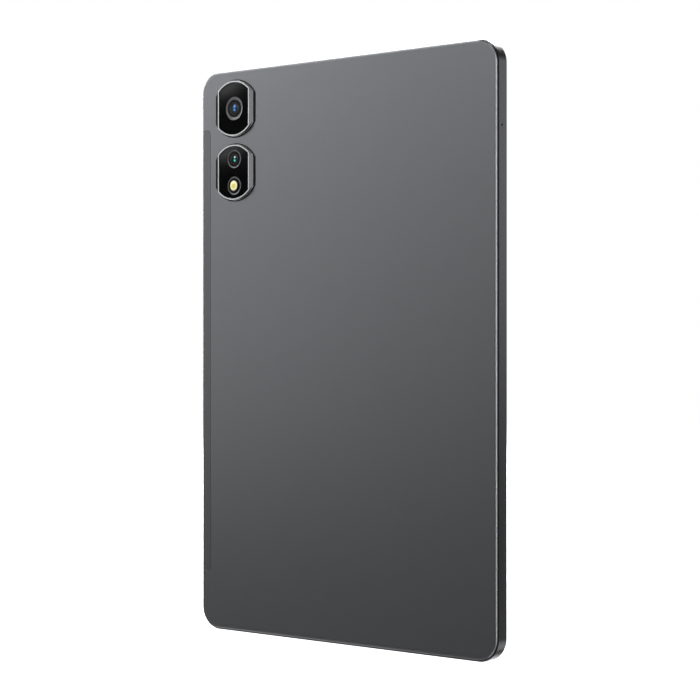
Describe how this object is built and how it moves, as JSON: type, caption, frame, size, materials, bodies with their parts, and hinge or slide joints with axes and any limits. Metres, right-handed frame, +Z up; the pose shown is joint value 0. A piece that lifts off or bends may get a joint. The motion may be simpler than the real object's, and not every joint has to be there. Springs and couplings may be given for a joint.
{
  "type": "tablet computer",
  "caption": "Slim tablet computer with an aluminium back, a plastic antenna strip, two raised camera islands, a glass screen and a card tray.",
  "frame": {"origin": "under the middle of the body, at the lowest edge of the short side it stands on", "axes": "+Z up along the long side, +Y out of the back with the cameras, -Y out of the screen, +X to the right seen from the screen"},
  "size_m": [0.169, 0.009, 0.2575],
  "materials": {
    "housing_metal": "bead blasted and anodised dark graphite",
    "key_metal": "anodised dark graphite, finer than the housing",
    "strip_plastic": "matte paint matched to the housing",
    "black_plastic": "fine matte",
    "cover_glass": "polished",
    "black_print": "printed film",
    "clear_adhesive": "clear",
    "display_glass": "polarising film",
    "clear_plastic": "clear acrylic",
    "sheet_steel": "rolled",
    "flex_film": "polyimide film",
    "circuit_board": "solder mask",
    "chip_resin": "moulded resin",
    "graphite": "pressed graphite",
    "battery_film": "laminated pouch",
    "polished_metal": "diamond cut",
    "satin_metal": "turned satin",
    "lens_glass": "coated",
    "window_glass": "polished, black printed",
    "flash_resin": "clear phosphor yellow",
    "contact_gold": "gold plated",
    "soft_rubber": "matte"
  },
  "bodies": {
    "body": {"rear_housing": "housing_metal", "antenna_cover": "strip_plastic", "front_frame": "black_plastic", "cover_glass": "cover_glass", "bezel_print": "black_print", "display_adhesive": "clear_adhesive", "lcd_cell": "display_glass", "light_guide": "clear_plastic", "backlight_tray": "sheet_steel", "display_flex": "flex_film", "main_board": "circuit_board", "shield_can_main": "sheet_steel", "shield_can_radio": "sheet_steel", "soc_chip": "chip_resin", "memory_chip": "chip_resin", "radio_chip": "chip_resin", "graphite_sheet": "graphite", "battery_cell_left": "battery_film", "battery_cell_right": "battery_film", "battery_board": "circuit_board", "battery_cable": "soft_rubber", "usb_board": "circuit_board", "usb_c_shell": "sheet_steel", "usb_c_tongue": "black_plastic", "main_flex": "flex_film", "speaker_top_left": "black_plastic", "speaker_top_right": "black_plastic", "speaker_bottom_left": "black_plastic", "speaker_bottom_right": "black_plastic", "speaker_meshes": "sheet_steel", "camera_base_main": "black_plastic", "camera_base_second": "black_plastic", "camera_ring_main": "polished_metal", "camera_ring_second": "polished_metal", "camera_window_main": "window_glass", "camera_window_second": "window_glass", "lens_ring_main": "satin_metal", "lens_ring_second": "satin_metal", "lens_ring_flash": "satin_metal", "main_camera": "black_plastic", "main_camera_lens": "lens_glass", "second_camera": "black_plastic", "second_camera_lens": "lens_glass", "flash_led": "flash_resin", "flash_lens": "flash_resin", "front_camera": "black_plastic", "microphone": "contact_gold", "mic_gasket": "soft_rubber", "power_switch": "sheet_steel", "volume_switches": "sheet_steel", "card_socket": "sheet_steel", "antenna_upper": "contact_gold", "antenna_lower": "contact_gold", "antenna_coax": "soft_rubber", "screws": "sheet_steel"},
    "power_key": {"power_button": "key_metal"},
    "volume_key": {"volume_rocker": "key_metal"},
    "tray": {"card_tray": "strip_plastic"},
    "ejector_rod": {"eject_plunger": "sheet_steel"},
    "ejector_lever": {"eject_lever": "contact_gold"}
  },
  "joints": [
    {"name": "power_press", "type": "slide", "parent": "body", "child": "power_key", "axis": [0, 0, -1], "range_m": [0, 0.0003], "stiffness_N_per_m": 1200},
    {"name": "volume_rock", "type": "hinge", "parent": "body", "child": "volume_key", "pos_m": [0.0824, -0.0002, 0.213], "axis": [0, 1, 0], "range_deg": [-1.4, 1.4], "stiffness_Nm_per_rad": 0.5},
    {"name": "tray_slide", "type": "slide", "parent": "body", "child": "tray", "axis": [1, 0, 0], "range_m": [0, 0.026]},
    {"name": "eject_push", "type": "slide", "parent": "body", "child": "ejector_rod", "axis": [-1, 0, 0], "range_m": [0, 0.0015]},
    {"name": "eject_swing", "type": "hinge", "parent": "body", "child": "ejector_lever", "pos_m": [0.0564, -0.00015, 0.186], "axis": [0, 1, 0], "range_deg": [0, 25.5]}
  ],
  "couplings": [
    {"joint": "eject_swing", "follows": "eject_push", "rad_per_m": 294.12}
  ]
}
